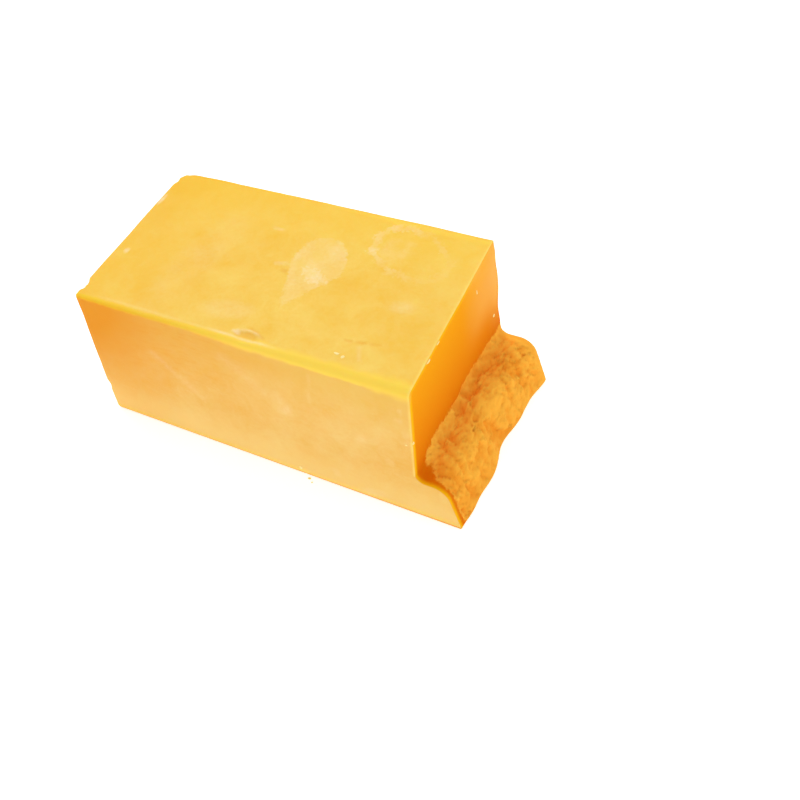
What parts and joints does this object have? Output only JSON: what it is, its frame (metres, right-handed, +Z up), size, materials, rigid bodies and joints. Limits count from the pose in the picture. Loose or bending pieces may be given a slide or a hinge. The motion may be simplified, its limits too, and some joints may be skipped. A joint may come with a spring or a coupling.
{
  "type": "cheddar block",
  "caption": "Oblong block of orange cheddar with flat pressed faces, a clean knife cut at its end and a torn foot standing out below the cut where a slice was broken off.",
  "frame": {"origin": "middle of the resting face, in the plane that the block rests on", "axes": "+X along the block towards the knife cut, +Y away from the front long face, +Z up"},
  "size_m": [0.1532, 0.0768, 0.0653],
  "materials": {
    "cheddar": "soft waxy sheen, faint mottling and bloom, deeper orange on the fresh cut"
  },
  "bodies": {
    "root": {"cheddar_block": "cheddar"}
  },
  "joints": []
}
